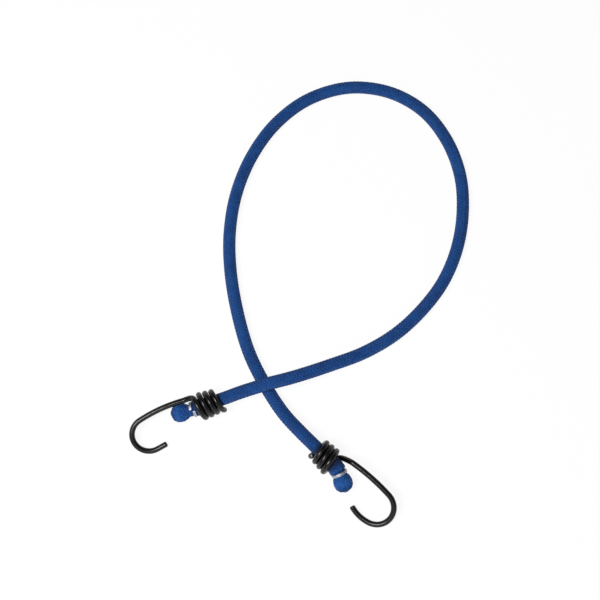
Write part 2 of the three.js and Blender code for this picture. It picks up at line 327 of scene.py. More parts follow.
ENDS = {
    "a": dict(
        seat=(-0.039, 0.03015), heading=199, tilt=2.1, roll=22, face=-1, coil_slant=0.13, lead_out=32,
        flare=-0.0005, lean=3.4, shank=0.02875, shank_bow=18, bend_radius=0.0104, bend_angle=175,
        tip_leg=0.0066, tip_bow=1, clip_reach=0.003, clip_turn=108, bulb_reach=0.0113, tuck=0.002,
        dip=0.0007, cut_bare=0,
    ),
    "b": dict(
        seat=(0.0436, -0.0047), heading=-44.3, tilt=4.6, roll=24.4, face=1, coil_slant=-0.06, lead_out=74,
        flare=0.0018, lean=9.6, shank=0.0284, shank_bow=13, bend_radius=0.0109, bend_angle=158,
        tip_leg=0.0139, tip_bow=37, clip_reach=0.0062, clip_turn=250, bulb_reach=0.0112, tuck=-0.0048,
        dip=0, cut_bare=1,
    ),
}


def between(low, high, share):
    return low + (high - low) * share


ROUTE = [
    (-0.0124, 0.0392, between(SEAT, OVER, 0.75)),
    (0.0026, 0.0438, OVER),
    (0.0197, 0.0484, OVER),
    (0.0417, 0.0565, between(OVER, LIE, 0.5)),
    (0.0637, 0.0656, between(OVER, LIE, 0.92)),
    (0.0837, 0.0777, LIE),
    (0.1007, 0.0934, LIE),
    (0.1149, 0.1122, LIE),
    (0.1247, 0.1347, LIE),
    (0.1295, 0.1597, LIE),
    (0.1289, 0.1857, LIE),
    (0.1209, 0.2111, LIE),
    (0.1059, 0.2324, LIE),
    (0.0837, 0.246, LIE),
    (0.0567, 0.2495, LIE),
    (0.0297, 0.2411, LIE),
    (0.0076, 0.2233, LIE),
    (-0.0085, 0.1993, LIE),
    (-0.0184, 0.1725, LIE),
    (-0.0222, 0.1457, LIE),
    (-0.0213, 0.1202, LIE),
    (-0.0163, 0.0917, LIE),
    (-0.0083, 0.065, LIE),
    (0.0028, 0.043, LIE),
    (0.0134, 0.0266, between(LIE, SEAT, 0.55)),
    (0.0241, 0.0146, SEAT),
]
print(f"each coil: {COIL_LENGTH * MM:.1f} mm long")

# %% Axes of an end and the cord's points through it

UP = np.array([0.0, 0.0, 1.0])


def end_axes(end):
    """The coil's wide mouth, and u along the coil, v to the shank's side, w across both."""
    heading, tilt, roll = (math.radians(end[key]) for key in ("heading", "tilt", "roll"))
    level = np.array([math.cos(heading), math.sin(heading), 0])
    side = np.array([-math.sin(heading), math.cos(heading), 0]) * end["face"]
    u = level * math.cos(tilt) - UP * math.sin(tilt)
    top = level * math.sin(tilt) + UP * math.cos(tilt)
    v = side * math.cos(roll) + top * math.sin(roll)
    return dict(mouth=np.array([*end["seat"], SEAT]), level=level, side=side, u=u, v=v, w=np.cross(u, v))


class Bend:
    """A circular bend in the hook's plane, turning away from v from a start point and direction."""

    def __init__(self, start, ahead, radius, angle):
        self.ahead = ahead
        self.radius = radius
        self.angle = angle
        self.outward = np.array([-ahead[1], ahead[0], 0])
        self.centre = start - self.outward * radius

    def points(self, count):
        turn = np.linspace(0, self.angle, count)[:, None]
        return self.centre + self.radius * (self.outward * np.cos(turn) + self.ahead * np.sin(turn))

    def then(self, radius, angle):
        onward = self.ahead * math.cos(self.angle) - self.outward * math.sin(self.angle)
        return Bend(self.points(2)[-1], onward, radius, angle)


def shank_bend(end):
    """The shank, which bows slightly, in the hook's own plane."""
    lean = math.radians(end["lean"])
    bow = math.radians(end["shank_bow"])
    start = np.array([LEAD_OUT_LENGTH, COIL_WIDE + end["flare"], 0])
    return Bend(start, np.array([math.cos(lean), math.sin(lean), 0]), end["shank"] / bow, bow)


def shank_side(end, reach):
    """How far to its side the shank is, level, at a reach past the coil."""
    shank = shank_bend(end)
    rise = shank.centre[1] + math.sqrt(shank.radius**2 - (reach - shank.centre[0]) ** 2)
    return rise * math.cos(math.radians(end["roll"]))


def end_points(end):
    """The cord's points from a straight run before the coil to the tip of the bulb."""
    axes = end_axes(end)
    mouth, u = axes["mouth"], axes["u"]
    clear = WIRE_RADIUS + BULB_RADIUS * CORD_CORNER
    drift = shank_side(end, end["bulb_reach"]) - clear + end["tuck"]
    bulb = mouth + axes["level"] * end["bulb_reach"] + axes["side"] * drift
    bulb[2] = BULB_RADIUS * CORD_CORNER
    elbow = mouth + u * end["bulb_reach"] * TAIL_ELBOW - axes["side"] * end["dip"]
    t = TAIL_MIDDLE
    tail = mouth * (1 - t) ** 2 + elbow * 2 * t * (1 - t) + bulb * t**2
    onward = (bulb - elbow) * [1, 1, 0]
    tip = bulb + onward / np.linalg.norm(onward) * BULB_RADIUS
    coil = [mouth - u * reach for reach in (COIL_LENGTH + STRAIGHT_RUN, COIL_LENGTH, COIL_LENGTH / 2)]
    return [*coil, mouth, tail, bulb, tip]


print("points through an end:", len(end_points(ENDS["a"])))

# %% One smooth line through all the points

SAMPLES_PER_POINT = 40
FRAME_STEP = 0.0004


def smooth_line(points):
    """A centripetal Catmull-Rom curve, which takes uneven spacing without loops or overshoot."""
    points = np.array(points, float)
    knots = np.vstack([2 * points[0] - points[1], points, 2 * points[-1] - points[-2]])
    t = np.linspace(0, 1, SAMPLES_PER_POINT, endpoint=False)[:, None]
    parts = []
    for p0, p1, p2, p3 in zip(knots, knots[1:], knots[2:], knots[3:]):
        d0, d1, d2 = (math.sqrt(np.linalg.norm(b - a)) for a, b in ((p0, p1), (p1, p2), (p2, p3)))
        leave = ((p1 - p0) / d0 - (p2 - p0) / (d0 + d1) + (p2 - p1) / d1) * d1
        reach = ((p2 - p1) / d1 - (p3 - p1) / (d1 + d2) + (p3 - p2) / d2) * d1
        bend = 3 * (p2 - p1) - 2 * leave - reach
        ease = 2 * (p1 - p2) + leave + reach
        parts.append(p1 + leave * t + bend * t**2 + ease * t**3)
    return np.vstack([*parts, points[-1:]])


class Line:
    """A line of points, with its place and cross axes at any length along it."""

    def __init__(self, points):
        self.points = points
        steps = np.linalg.norm(np.diff(points, axis=0), axis=1)
        self.lengths = np.concatenate([[0], np.cumsum(steps)])

    def at(self, run):
        return np.stack([np.interp(run, self.lengths, self.points[:, k]) for k in range(3)], -1)

    def spot(self, run):
        """One point, at one length."""
        return self.at(np.array([run]))[0]

    def axes(self, run):
        ahead = self.at(run + FRAME_STEP) - self.at(run - FRAME_STEP)
        ahead /= np.linalg.norm(ahead, axis=-1, keepdims=True)
        across = np.cross(UP, ahead)
        across /= np.linalg.norm(across, axis=-1, keepdims=True)
        return ahead, across, np.cross(ahead, across)


left_points = end_points(ENDS["a"])[::-1]
right_points = end_points(ENDS["b"])
all_points = [*left_points, *ROUTE, *right_points]
laid = smooth_line(all_points)
laid[:, 2] = np.maximum(laid[:, 2], LIE)
line = Line(laid)
full_length = line.lengths[-1]

# Each end's marks, counted in points from its own tip.
MARKS = dict(tip=0, bulb=1, mouth=3, middle=4, narrow=5)
runs = {
    "a": {mark: line.lengths[SAMPLES_PER_POINT * k] for mark, k in MARKS.items()},
    "b": {mark: line.lengths[-1 - SAMPLES_PER_POINT * k] for mark, k in MARKS.items()},
}
print(f"cord from tip to tip: {full_length * MM:.1f} mm")

# %% [markdown]
# ## Finishes
#
# The sheath is multifilament yarn, a little uneven from one carrier to the next. Its colour carries
# painted light, paler where the sheath is thicker on a swell or bulb, and painted shade, near black
# under each coil and just past its mouth. The hooks are steel wire dipped in black vinyl: glossy, with
# the faint orange peel of a dipped coat, and bare grey steel where a cut end has lost it. The clips are
# plated metal, dulled by handling. Pictures could be wrapped on the pieces, but formulas stay sharp at
# any distance, so each finish is one Principled shader whose colour, roughness and bump vary with the
# piece's own map, its attributes or its place.

# %% Helpers for finishes


def set_inputs(flow, shader, **values):
    """Gives the shader's named inputs their numbers or links."""
    for label, value in values.items():
        flow.plug(shader.inputs[label.replace("_", " ")], value)


def new_finish(name, **fixed):
    """A material with one Principled shader and the inputs that are the same all over."""
    material = bpy.data.materials.new(name)
    material.use_nodes = True
    tree = material.node_tree
    shader = next(node for node in tree.nodes if node.type == "BSDF_PRINCIPLED")
    flow = Flow(tree)
    set_inputs(flow, shader, **fixed)
    return material, flow, shader


def own_place(flow):
    return flow.node("ShaderNodeTexCoord", {}, "Object")


def own_map(flow):
    return flow.node("ShaderNodeUVMap", uv_map="UVMap")


def own_value(flow, name):
    """A value that the piece's own mesh carries."""
    return flow.node("ShaderNodeAttribute", {}, "Fac", attribute_name=name)


def noise(flow, where, scale, detail=2.0, roughness=0.5):
    inputs = {"Vector": where, "Scale": scale, "Detail": detail, "Roughness": roughness}
    return flow.node("ShaderNodeTexNoise", inputs)


def mixed(flow, share, first, second):
    inputs = {"Factor_Float": share, "A_Color": first, "B_Color": second}
    return flow.node("ShaderNodeMix", inputs, "Result_Color", data_type="RGBA")


def bump(flow, height, depth):
    return flow.node("ShaderNodeBump", {"Height": height, "Distance": depth})


def stretched(flow, limits, value):
    """The value's range between two limits, stretched to 0 to 1 with soft ends."""
    inputs = {"Value": value, 1: limits[0], 2: limits[1]}
    return flow.node("ShaderNodeMapRange", inputs, interpolation_type="SMOOTHSTEP")


def tell(*materials):
    for material in materials:
        print(f"{material.name}: {len(material.node_tree.nodes)} nodes")


# %% Blue yarn

YARN_DEEP = (0.006, 0.049, 0.205, 1)
YARN_LIGHT = (0.0145, 0.098, 0.356, 1)
YARN_WORN = (0.024, 0.095, 0.270, 1)
# Painted shade: the near-black colour the sheath is painted under each coil and just past its mouth, and
# how much of it is used.
YARN_PAINTED_SHADE = (0.002, 0.005, 0.016, 1)
COIL_SHADE_SHARE = 0.85
# Painted light: how much paler the yarn is painted where the sheath is thicker, on the swells and bulbs.
BULB_LIGHT_GAIN = 400
FILAMENTS = 13
FILAMENT_TWIST = 260
FILAMENT_DEPTH = 0.00005
PATCH_SCALE = 90
FIBRE_SCALE = 900
WEAR_SCALE = 130
WEAR_RANGE = (0.58, 0.78)
WEAR_SHARE = 0.25
CARRIER_TONE = 0.3
FIBRE_TONE = 0.2
FILAMENT_TONE = 0.18
TONE_DROP = 0.4
YARN_ROUGHNESS = 0.5
FIBRE_ROUGHNESS = 0.18
PATCH_ROUGHNESS = 0.1
FILAMENT_BUMP = 0.5
FIBRE_BUMP = 0.6


def yarn_finish():
    even = dict(Sheen_Weight=0.06, Sheen_Roughness=0.4, Specular_IOR_Level=0.2)
    material, flow, shader = new_finish("blue_yarn", **even)
    here = own_place(flow)
    around = flow.node("ShaderNodeSeparateXYZ", {0: own_map(flow)})
    along = around.also("Y")
    filament = ((around * FILAMENTS + along * FILAMENT_TWIST) * (2 * math.pi)).math("SINE")
    patches = noise(flow, here, PATCH_SCALE, detail=3)
    fibres = noise(flow, here, FIBRE_SCALE)
    # Painted light: the yarn is painted paler where the sheath is thicker, on the swells and bulbs.
    spread = (own_value(flow, "girth") - CORD_RADIUS) * BULB_LIGHT_GAIN
    carrier = own_value(flow, "tint") * CARRIER_TONE
    tone = carrier + patches + fibres * FIBRE_TONE + filament * FILAMENT_TONE + spread - TONE_DROP
    cloth = mixed(flow, tone.held(0, 1), YARN_DEEP, YARN_LIGHT)
    rubbed = stretched(flow, WEAR_RANGE, noise(flow, here, WEAR_SCALE, detail=4, roughness=0.6))
    worn = mixed(flow, rubbed * WEAR_SHARE, cloth, YARN_WORN)
    # Painted shade: the yarn goes near black under each coil and fades out past its mouth.
    soiled = own_value(flow, "soiled") * COIL_SHADE_SHARE
    colour = mixed(flow, soiled, worn, YARN_PAINTED_SHADE)
    rough = YARN_ROUGHNESS + fibres * FIBRE_ROUGHNESS + patches * PATCH_ROUGHNESS
    relief = bump(flow, filament * FILAMENT_BUMP + fibres * FIBRE_BUMP, FILAMENT_DEPTH)
    set_inputs(flow, shader, Base_Color=colour, Roughness=rough, Normal=relief)
    return material


yarn = yarn_finish()
tell(yarn)

# %% Shaded yarn between the carriers, and yarn melted shut at the tips

LINER_BLUE = (0.005, 0.026, 0.110, 1)
MELT_DEEP = (0.007, 0.038, 0.160, 1)
MELT_LIGHT = (0.014, 0.064, 0.235, 1)
SHADED_SCALE = 700
LUMP_SCALE = 700
LUMP_DEPTH = 0.0002
MELT_ROUGHNESS = 0.28
LUMP_ROUGHNESS = 0.3


def liner_finish():
    material, flow, shader = new_finish("inner_yarn", Roughness=0.8, Specular_IOR_Level=0.2)
    grain = noise(flow, own_place(flow), SHADED_SCALE)
    shaded = mixed(flow, grain, LINER_BLUE, MELT_DEEP)
    # Painted shade: the inner yarn is painted near black under each coil too.
    soiled = own_value(flow, "soiled") * COIL_SHADE_SHARE
    colour = mixed(flow, soiled, shaded, YARN_PAINTED_SHADE)
    set_inputs(flow, shader, Base_Color=colour, Normal=bump(flow, grain, FILAMENT_DEPTH))
    return material


def melt_finish():
    material, flow, shader = new_finish("melted_yarn", Coat_Weight=0.3, Coat_Roughness=0.25)
    lumps = noise(flow, own_place(flow), LUMP_SCALE, detail=4, roughness=0.6)
    colour = mixed(flow, lumps, MELT_DEEP, MELT_LIGHT)
    rough = MELT_ROUGHNESS + lumps * LUMP_ROUGHNESS
    set_inputs(flow, shader, Base_Color=colour, Roughness=rough, Normal=bump(flow, lumps, LUMP_DEPTH))
    return material


liner = liner_finish()
melt = melt_finish()
tell(liner, melt)

# %% Rubber threads

LATEX_PALE = (0.60, 0.47, 0.27, 1)
LATEX_DARK = (0.42, 0.30, 0.15, 1)
BLOOM_SCALE = 240
POWDER_SCALE = 1600
LATEX_ROUGHNESS = 0.55
BLOOM_ROUGHNESS = 0.25
POWDER_DEPTH = 0.00005


def latex_finish():
    material, flow, shader = new_finish("latex", Subsurface_Weight=0.05, Specular_IOR_Level=0.35)
    here = own_place(flow)
    blooms = noise(flow, here, BLOOM_SCALE, detail=4, roughness=0.6)
    colour = mixed(flow, blooms, LATEX_DARK, LATEX_PALE)
    rough = LATEX_ROUGHNESS + blooms * BLOOM_ROUGHNESS
    relief = bump(flow, noise(flow, here, POWDER_SCALE), POWDER_DEPTH)
    set_inputs(flow, shader, Base_Color=colour, Roughness=rough, Normal=relief)
    return material


latex = latex_finish()
tell(latex)

# %% Dipped black wire, with bare steel at its cut ends

COAT_BLACK = (0.0008, 0.0008, 0.0009, 1)
COAT_DUSTY = (0.0036, 0.0036, 0.004, 1)
STEEL_CUT = (0.13, 0.13, 0.135, 1)
DUST_SCALE = 160
DUSTY_RANGE = (0.5, 0.7)
DUST_SHARE = 0.5
PEEL_SCALE = 420
PEEL_DEPTH = 0.00006
SCUFF_SCALE = 900
SCUFF_RANGE = (0.60, 0.74)
SCUFF_SHARE = 0.5
SCUFF_BUMP = 0.2
BARE_RANGE = (0.35, 0.65)
BARE_METAL = 0.9
COAT_ROUGHNESS = 0.26
DUST_ROUGHNESS = 0.08
SCUFF_ROUGHNESS = 0.2
BARE_ROUGHNESS = 0.12


def coat_finish():
    material, flow, shader = new_finish("dipped_wire", Specular_IOR_Level=0.42)
    here = own_place(flow)
    bare = stretched(flow, BARE_RANGE, own_value(flow, "bare"))
    dust = noise(flow, here, DUST_SCALE, detail=4, roughness=0.65)
    peel = noise(flow, here, PEEL_SCALE, detail=1)
    marks = stretched(flow, SCUFF_RANGE, noise(flow, here, SCUFF_SCALE, detail=3, roughness=0.6))
    scuffs = marks * stretched(flow, DUSTY_RANGE, dust)
    black = mixed(flow, dust * DUST_SHARE + scuffs * SCUFF_SHARE, COAT_BLACK, COAT_DUSTY)
    colour = mixed(flow, bare, black, STEEL_CUT)
    metal = bare * BARE_METAL
    rough = COAT_ROUGHNESS + dust * DUST_ROUGHNESS + scuffs * SCUFF_ROUGHNESS + bare * BARE_ROUGHNESS
    relief = bump(flow, peel + scuffs * SCUFF_BUMP, PEEL_DEPTH)
    set_inputs(flow, shader, Base_Color=colour, Metallic=metal, Roughness=rough, Normal=relief)
    return material


coat = coat_finish()
tell(coat)

# %% Bright plated clips

PLATE_PALE = (0.55, 0.58, 0.62, 1)
PLATE_DULL = (0.36, 0.38, 0.41, 1)
DRAWN_SCALE = (4, 220, 1)
LINE_SCALE = 3
SPOT_SCALE = 800
LINE_SHARE = 0.2
SPOT_SHARE = 0.7
PLATE_ROUGHNESS = 0.44
LINE_ROUGHNESS = 0.16
SPOT_ROUGHNESS = 0.12
LINE_BUMP = 0.4
SPOT_BUMP = 0.6
PLATE_DEPTH = 0.00003


def plate_finish():
    material, flow, shader = new_finish("bright_plate", Metallic=1.0)
    drawn = flow.node("ShaderNodeMapping", {"Vector": own_map(flow), "Scale": DRAWN_SCALE})
    lines = noise(flow, drawn, LINE_SCALE, detail=3)
    spots = noise(flow, own_place(flow), SPOT_SCALE, detail=4, roughness=0.6)
    colour = mixed(flow, spots * SPOT_SHARE + lines * LINE_SHARE, PLATE_PALE, PLATE_DULL)
    rough = PLATE_ROUGHNESS + lines * LINE_ROUGHNESS + spots * SPOT_ROUGHNESS
    relief = bump(flow, lines * LINE_BUMP + spots * SPOT_BUMP, PLATE_DEPTH)
    set_inputs(flow, shader, Base_Color=colour, Roughness=rough, Normal=relief)
    return material


plate = plate_finish()
tell(plate)

# %% [markdown]
# ## The braided sheath
#
# A bump map can draw a braid, but it stays flat at the cord's edge. Here each carrier's yarn is its
# own ribbon. Half of them wind to the right and half to the left, and each goes over two and under
# two of the others, which gives the rows of chevrons of such a cord. The tree copies the path
# once for each carrier, turns the copy round the cord and lifts or sinks it at each crossing.

# %% The braid as a geometry tree

CARRIERS = 24
LAY = 0.025
YARN_WIDTH = 0.00156
YARN_THICKNESS = 0.0004
RIBBON_SIDES = 6
LINER_SIDES = 16
CROSSING_SHARPNESS = 1.5
SINK = 0.7
WEAVE_LIFT = 0.5
LINER_INSET = 1.9
TINT_SEED = 7


def braid_tree():
    flow, size, path = new_tree("braid_on_path", [
        ("Carriers", "Int"), ("Lay", "Float"), ("Cord radius", "Float"), ("Yarn width", "Float"),
        ("Yarn thickness", "Float"), ("Seed", "Int"), ("Yarn", "Material"), ("Liner", "Material"),
    ])
    copies = copied(flow, path, size["Carriers"])
    index = copies.also("Duplicate Index")
    girth = attribute(flow, "girth")
    swell = girth / size["Cord radius"]
    thick = size["Yarn thickness"]
    each_way = size["Carriers"] / 2

    hand = 1 - 2 * (index % 2)
    spot = (index / 2).math("FLOOR")
    turned = attribute(flow, "run") / size["Lay"] * (2 * math.pi)
    angle = hand * turned + spot * (2 * math.pi) / each_way
    beat = hand * turned * each_way / math.pi + spot * 2
    wave = ((beat - 0.5) * (math.pi / 2)).math("COSINE") * CROSSING_SHARPNESS
    lift = hand * wave.held(-1, 1)
    outward = (
        attribute(flow, "across", "FLOAT_VECTOR") * angle.math("COSINE")
        + attribute(flow, "upright", "FLOAT_VECTOR") * angle.math("SINE")
    )
    offset = outward * (girth - thick * (SINK - lift * WEAVE_LIFT))
    wound = flow.node("GeometryNodeSetPosition", {"Geometry": copies, "Offset": offset})
    faced = flow.node("GeometryNodeSetCurveNormal", {"Curve": wound, "Normal": outward}, mode="FREE")
    drawn = {"ID": index, "Seed": size["Seed"]}
    tints = flow.node("FunctionNodeRandomValue", drawn, 1, data_type="FLOAT")
    tinted = stored(flow, faced, "tint", tints, domain="CURVE")

    flat = flow.node("ShaderNodeCombineXYZ", {0: thick, 1: size["Yarn width"], 2: 1.0})
    flattened = {"Geometry": ring(flow, RIBBON_SIDES, 0.5), "Scale": flat}
    oval = flow.node("GeometryNodeTransform", flattened)
    section = stored(flow, oval, "ply", flow.node("GeometryNodeSplineParameter"))
    ribbons = smooth_sides(flow, swept(flow, tinted, section, Scale=swell))
    ply_map = flow.node("ShaderNodeCombineXYZ", {0: attribute(flow, "ply"), 1: attribute(flow, "run")})
    mapped = stored(flow, ribbons, "UVMap", ply_map, data_type="FLOAT2", domain="CORNER")

    inside = girth - thick * LINER_INSET
    tube = smooth_sides(flow, swept(flow, path, ring(flow, LINER_SIDES, 1.0), Scale=inside))
    marked = stored(flow, tube, "inner", True, data_type="BOOLEAN", domain="FACE")

    whole = flow.node("GeometryNodeJoinGeometry", {"Geometry": [mapped, marked]})
    inner = attribute(flow, "inner", "BOOLEAN")
    yarns = dressed(flow, whole, size["Yarn"])
    lining = {"Geometry": yarns, "Selection": inner, "Material": size["Liner"]}
    return end_tree(flow, flow.node("GeometryNodeSetMaterial", lining))


braid = braid_tree()
print(f"{braid.name}: {len(braid.nodes)} nodes")
BRAID_SIZES = {
    "Carriers": CARRIERS, "Lay": LAY, "Cord radius": CORD_RADIUS, "Yarn width": YARN_WIDTH,
    "Yarn thickness": YARN_THICKNESS, "Seed": TINT_SEED, "Yarn": yarn, "Liner": liner,
}

# %% The two halves of the cord, which meet at the middle of the loop

BRAID_STEP = 0.00075
END_STEP = 0.0005
# How far the painted shade fades out before a coil and past its mouth.
COIL_SHADE_FADE = 0.0026
SWELL_SHADE_FADE = 0.0038


def coil_shade_at(stops):
    """How much painted shade darkens the sheath: it is darkest under a coil and fades out on each side."""
    share = np.zeros(len(stops))
    for marks in runs.values():
        outward = np.sign(marks["tip"] - marks["mouth"])
        before = (marks["narrow"] - stops) * outward / COIL_SHADE_FADE
        after = (stops - marks["mouth"]) * outward / SWELL_SHADE_FADE
        share = np.maximum(share, np.clip(1 - np.maximum(before, after), 0, 1))
    return share


def braid_path(name, start, end, step, girth_at):
    """A path along the cord between two lengths, with the sheath's girth at each point."""
    stops = np.linspace(start, end, round(abs(end - start) / step) + 1)
    _, across, upright = line.axes(stops)
    # The path also carries the share of painted shade at each point.
    fields = dict(run=stops, girth=girth_at(stops), soiled=coil_shade_at(stops), across=across, upright=upright)
    return path_mesh(name, line.at(stops), **fields), stops


def plain_girth(stops):
    return np.full(len(stops), CORD_RADIUS)


half_way = full_length / 2
cords, cord_stops = {}, {}
for key in ENDS:
    path, stops = braid_path("cord_" + key, runs[key]["middle"], half_way, BRAID_STEP, plain_girth)
    cords[key] = grow("cord_" + key, braid, path, BRAID_SIZES)
    cord_stops[key] = stops

# %% [markdown]
# ## The cord's ends
#
# In the coil's mouth the sheath swells, under the clip it is drawn in, and past the clip it bulges
# again into a bulb that keeps the hook on. The same braid tree makes all of that when the path says
# how thick the sheath is along the way. The yarn is melted shut where it gathers at the tip.

# %% Girth along an end

SWELL_LENGTH = 0.004
SWELL_FULLNESS = 0.8
SHOULDER = 0.0024
CLIP_WIDTH = 0.0018
BALL_START = math.radians(46)
BALL_EASE = 0.0012
TIP_REACH = 0.975
TIP_DROP = 0.4


def end_girth(key):
    """The sheath's girth at any length along one end of the cord."""
    end, marks = ENDS[key], runs[key]
    bulb = abs(marks["bulb"] - marks["mouth"])
    clip = end["clip_reach"]
    clip_half = CLIP_WIDTH / 2 + FIT
    stops = [
        (-COIL_LENGTH / 2, CORD_RADIUS),
        (-SWELL_LENGTH, CORD_RADIUS),
        (-SWELL_LENGTH / 4, between(CORD_RADIUS, SWELL_RADIUS, SWELL_FULLNESS)),
        (clip - SHOULDER, SWELL_RADIUS),
        (clip - clip_half, NECK_RADIUS),
        (bulb, NECK_RADIUS),
    ]
    reaches, girths = np.array(stops).T
    ball_start = bulb - BULB_RADIUS * math.sin(BALL_START)

    def girth_at(stops):
        reach = (stops - marks["mouth"]) * np.sign(marks["tip"] - marks["mouth"])
        spot = np.clip(np.searchsorted(reaches, reach) - 1, 0, len(reaches) - 2)
        share = np.clip((reach - reaches[spot]) / (reaches[spot + 1] - reaches[spot]), 0, 1)
        eased = share * share * (3 - 2 * share)
        neck = girths[spot] + (girths[spot + 1] - girths[spot]) * eased
        ball = np.sqrt(np.clip(BULB_RADIUS**2 - (reach - bulb) ** 2, 0, None))
        ease = BALL_EASE * np.clip((bulb - reach) / (bulb - ball_start), 0, 1)
        joined = (neck + ball + np.sqrt((neck - ball) ** 2 + ease**2)) / 2
        joined = np.where(reach < ball_start - BALL_EASE, neck, joined)
        return np.where(reach > bulb, ball, joined)

    return girth_at


print(f"each bulb: {2 * BULB_RADIUS * MM:.1f} mm across")

# %% Braided ends with melted tips

MELT_RADIUS = 0.0019
MELT_HEIGHT = 0.0009
MELT_RINGS = 7
MELT_SIDES = 20
MELT_RIPPLE = 0.06
MELT_LOBES = 3
MELT_TURN = math.radians(111.6)


def built(name, points, faces, material):
    """A smooth piece from its points and faces."""
    mesh = bpy.data.meshes.new(name)
    mesh.from_pydata([tuple(point) for point in points], [], faces)
    mesh.shade_smooth()
    mesh.materials.append(material)
    return link(bpy.data.objects.new(name, mesh))


def band_faces(low, sides):
    """Faces between a ring of points, the first of which is given, and the next ring."""
    steps = [(k, (k + 1) % sides) for k in range(sides)]
    return [(low + k, low + sides + k, low + sides + n, low + n) for k, n in steps]


def dome(name, centre, along):
    """A low lumpy dome of melted yarn on the end of the bulb."""
    side = np.cross(UP, along)
    side /= np.linalg.norm(side)
    top = np.cross(along, side)
    points = [centre + along * MELT_HEIGHT]
    for step in range(1, MELT_RINGS + 1):
        turn = step / MELT_RINGS * MELT_TURN
        for k in range(MELT_SIDES):
            angle = 2 * math.pi * k / MELT_SIDES
            ripple = 1 + MELT_RIPPLE * math.sin(MELT_LOBES * angle + step) * math.sin(turn)
            reach = MELT_RADIUS * math.sin(turn) * ripple
            flat = side * math.cos(angle) + top * math.sin(angle)
            points.append(centre + along * MELT_HEIGHT * math.cos(turn) + flat * reach)
    faces = [(0, k + 1, (k + 1) % MELT_SIDES + 1) for k in range(MELT_SIDES)]
    for step in range(MELT_RINGS - 1):
        faces += band_faces(1 + step * MELT_SIDES, MELT_SIDES)
    rim = 1 + (MELT_RINGS - 1) * MELT_SIDES
    faces.append(tuple(rim + k for k in reversed(range(MELT_SIDES))))
    return built(name, points, faces, melt)


ends, tips = {}, {}
for key, end in ENDS.items():
    marks = runs[key]
    last = marks["bulb"] + (marks["tip"] - marks["bulb"]) * TIP_REACH
    path, stops = braid_path("cord_end_" + key, marks["middle"], last, END_STEP, end_girth(key))
    ends[key] = grow("cord_end_" + key, braid, path, BRAID_SIZES)
    out = line.spot(last) - line.spot(marks["bulb"])
    out /= np.linalg.norm(out)
    seat = line.spot(last) - out * MELT_HEIGHT * TIP_DROP
    tips[key] = dome("melted_tip_" + key, seat, out)

# %% [markdown]
# ## Rubber threads
#
# The stretch comes from square threads of rubber that run side by side from bulb to bulb. They are
# out of sight, but a cut or stretched cord shows them, so they are there. One tree lays a square
# grid of copies along the path and leaves out the grid's corners, so that the bundle is round.

# %% The bundle as a geometry tree

THREAD_GAP = 0.00014
THREAD_CLEARANCE = 0.00005
GRID = 5
CORNER_STEPS = 4
THREAD_STEP = 0.003
THREAD_PITCH = (NECK_RADIUS - SHEATH_WALL - THREAD_CLEARANCE) / math.hypot(GRID / 2, GRID / 2 - 1)


def thread_tree():
    sizes = [("Pitch", "Float"), ("Width", "Float"), ("Rubber", "Material")]
    flow, size, path = new_tree("threads_on_path", sizes)
    copies = copied(flow, path, GRID**2)
    index = copies.also("Duplicate Index")
    column = index % GRID - (GRID - 1) / 2
    row = (index / GRID).math("FLOOR") - (GRID - 1) / 2
    across = attribute(flow, "across", "FLOAT_VECTOR")
    upright = attribute(flow, "upright", "FLOAT_VECTOR")
    offset = across * (column * size["Pitch"]) + upright * (row * size["Pitch"])
    laid_out = flow.node("GeometryNodeSetPosition", {"Geometry": copies, "Offset": offset})
    steps = column.math("ABSOLUTE") + row.math("ABSOLUTE")
    counts = {0: steps, 1: float(CORNER_STEPS)}
    corner = flow.node("FunctionNodeCompare", counts, operation="GREATER_EQUAL")
    dropped = {"Geometry": laid_out, "Selection": corner}
    kept = flow.node("GeometryNodeDeleteGeometry", dropped, domain="CURVE")
    faced = flow.node("GeometryNodeSetCurveNormal", {"Curve": kept, "Normal": upright}, mode="FREE")
    sides = {"Width": size["Width"], "Height": size["Width"]}
    square = flow.node("GeometryNodeCurvePrimitiveQuadrilateral", sides)
    threads = swept(flow, faced, square)
    edged = flow.node("GeometryNodeSetShadeSmooth", {"Geometry": threads, "Shade Smooth": False})
    return end_tree(flow, dressed(flow, edged, size["Rubber"]))


bundle = thread_tree()
BUNDLE_SIZES = {"Pitch": THREAD_PITCH, "Width": THREAD_PITCH - THREAD_GAP, "Rubber": latex}

cores, core_ends = {}, {}
for key in ENDS:
    path, _ = braid_path("core_" + key, runs[key]["middle"], half_way, THREAD_STEP, plain_girth)
    cores[key] = grow("rubber_core_" + key, bundle, path, BUNDLE_SIZES)
    path, _ = braid_path("core_end_" + key, runs[key]["middle"], runs[key]["bulb"], END_STEP, plain_girth)
    core_ends[key] = grow("rubber_core_end_" + key, bundle, path, BUNDLE_SIZES)

# %% [markdown]
# ## Hooks
#
# Each hook is one length of wire: a tapered coil round the cord, a short lead-out, a slightly bowed
# shank, a round bend and a tip leg. A curve drawn by hand could pass for it, but here the line is
# worked out leg by leg from the wire's own sizes, and one tree sweeps a round section along it. The
# path carries how thick the dipped wire is, a little more where the dip gathers on the coil, and
# where a rounded cut end is bare.

# %% The wire's line

WIRE_STEP = 0.0004
COIL_PULL = 0.003
SHANK_PULL = 0.0012
CUT_ROUND = 0.0009
COIL_POINTS = 400
LEAD_OUT_POINTS = 40
SHANK_POINTS = 60
BEND_POINTS = 120
TIP_POINTS = 40


def bezier(p0, p1, p2, p3, count):
    t = np.linspace(0, 1, count)[:, None]
    return p0 * (1 - t) ** 3 + 3 * p1 * t * (1 - t) ** 2 + 3 * p2 * t**2 * (1 - t) + p3 * t**3


